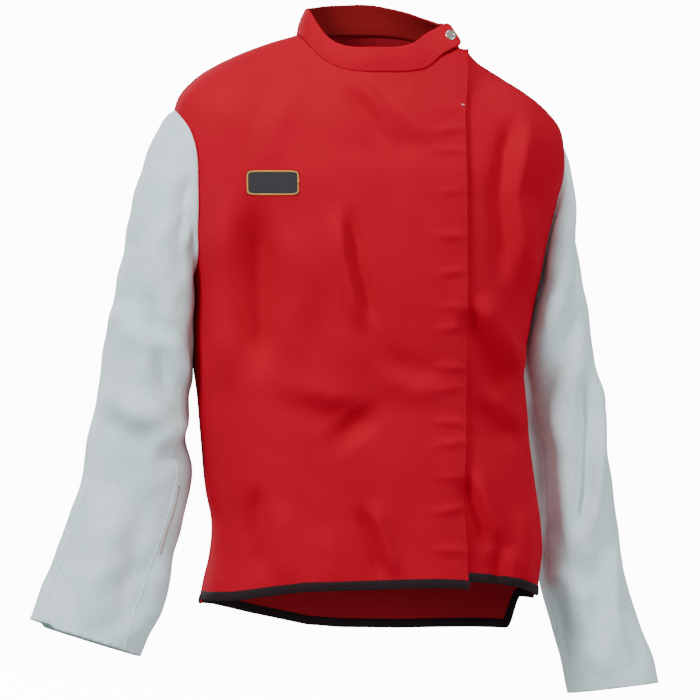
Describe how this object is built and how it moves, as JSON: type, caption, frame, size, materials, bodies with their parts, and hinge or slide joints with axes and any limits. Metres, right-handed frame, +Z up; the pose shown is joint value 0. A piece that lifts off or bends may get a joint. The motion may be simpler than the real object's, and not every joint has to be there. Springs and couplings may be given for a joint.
{
  "type": "welding jacket",
  "caption": "Hip-length welding jacket with a cotton body, split-leather sleeves, stand collar with a snap tab and a wide snapped front overlap.",
  "frame": {"origin": "middle of the neck on the shoulder line, where a coat hanger carries the jacket", "axes": "+Z up, the jacket's front faces -Y, the wearer's right sleeve is on the -X side"},
  "size_m": [0.8072, 0.2501, 0.867],
  "materials": {
    "cotton": "matte woven flame-resistant cotton twill, red",
    "cloth_inside": "matte inside face of the same red cotton",
    "split_leather": "pale grey suede-like split cowhide",
    "binding": "black woven binding tape",
    "snap_face": "nickel-plated ring cap",
    "snap_metal": "nickel-plated steel",
    "patch": "plain woven patch"
  },
  "bodies": {
    "jacket_body": {"back_panel": "cotton", "front_right_side": "cotton", "front_panel_left": "cotton", "front_facing_left": "cloth_inside", "hem_binding_back": "binding", "hem_binding_side": "binding", "hem_binding_left": "binding", "collar_outer_back": "cotton", "collar_lining_back": "cloth_inside", "collar_underlap": "cotton", "collar_snap_stud": "snap_metal", "collar_snap_post": "snap_metal", "placket_snap_studs": "snap_metal", "placket_snap_posts": "snap_metal", "chest_patch": "patch"},
    "front_flap": {"front_right_flap": "cotton", "front_facing_flap": "cloth_inside", "hem_binding_flap": "binding", "collar_outer_front": "cotton", "collar_lining_front": "cloth_inside", "placket_snap_sockets": "snap_metal"},
    "collar_tab": {"collar_tab_outer": "cotton", "collar_tab_lining": "cloth_inside", "collar_snap_cap": "snap_face", "collar_snap_socket": "snap_metal"},
    "sleeve_right": {"sleeve_right_front": "split_leather", "sleeve_right_back": "split_leather"},
    "sleeve_left": {"sleeve_left_front": "split_leather", "sleeve_left_back": "split_leather"}
  },
  "joints": [
    {"name": "front_flap_open", "type": "hinge", "parent": "jacket_body", "child": "front_flap", "pos_m": [-0.058, -0.115, -0.03], "axis": [-0.0815, -0.006, -0.9967], "range_deg": [0, 110]},
    {"name": "collar_tab_open", "type": "hinge", "parent": "front_flap", "child": "collar_tab", "pos_m": [0.03718, -0.06735, -0.01653], "axis": [0.4935, -0.2869, -0.8211], "range_deg": [0, 80]},
    {"name": "sleeve_right_raise", "type": "hinge", "parent": "jacket_body", "child": "sleeve_right", "pos_m": [-0.252, 0.008, -0.082], "axis": [0, 1, 0], "range_deg": [0, 40]},
    {"name": "sleeve_left_raise", "type": "hinge", "parent": "jacket_body", "child": "sleeve_left", "pos_m": [0.25, 0.012, -0.138], "axis": [0, -1, 0], "range_deg": [0, 40]}
  ]
}
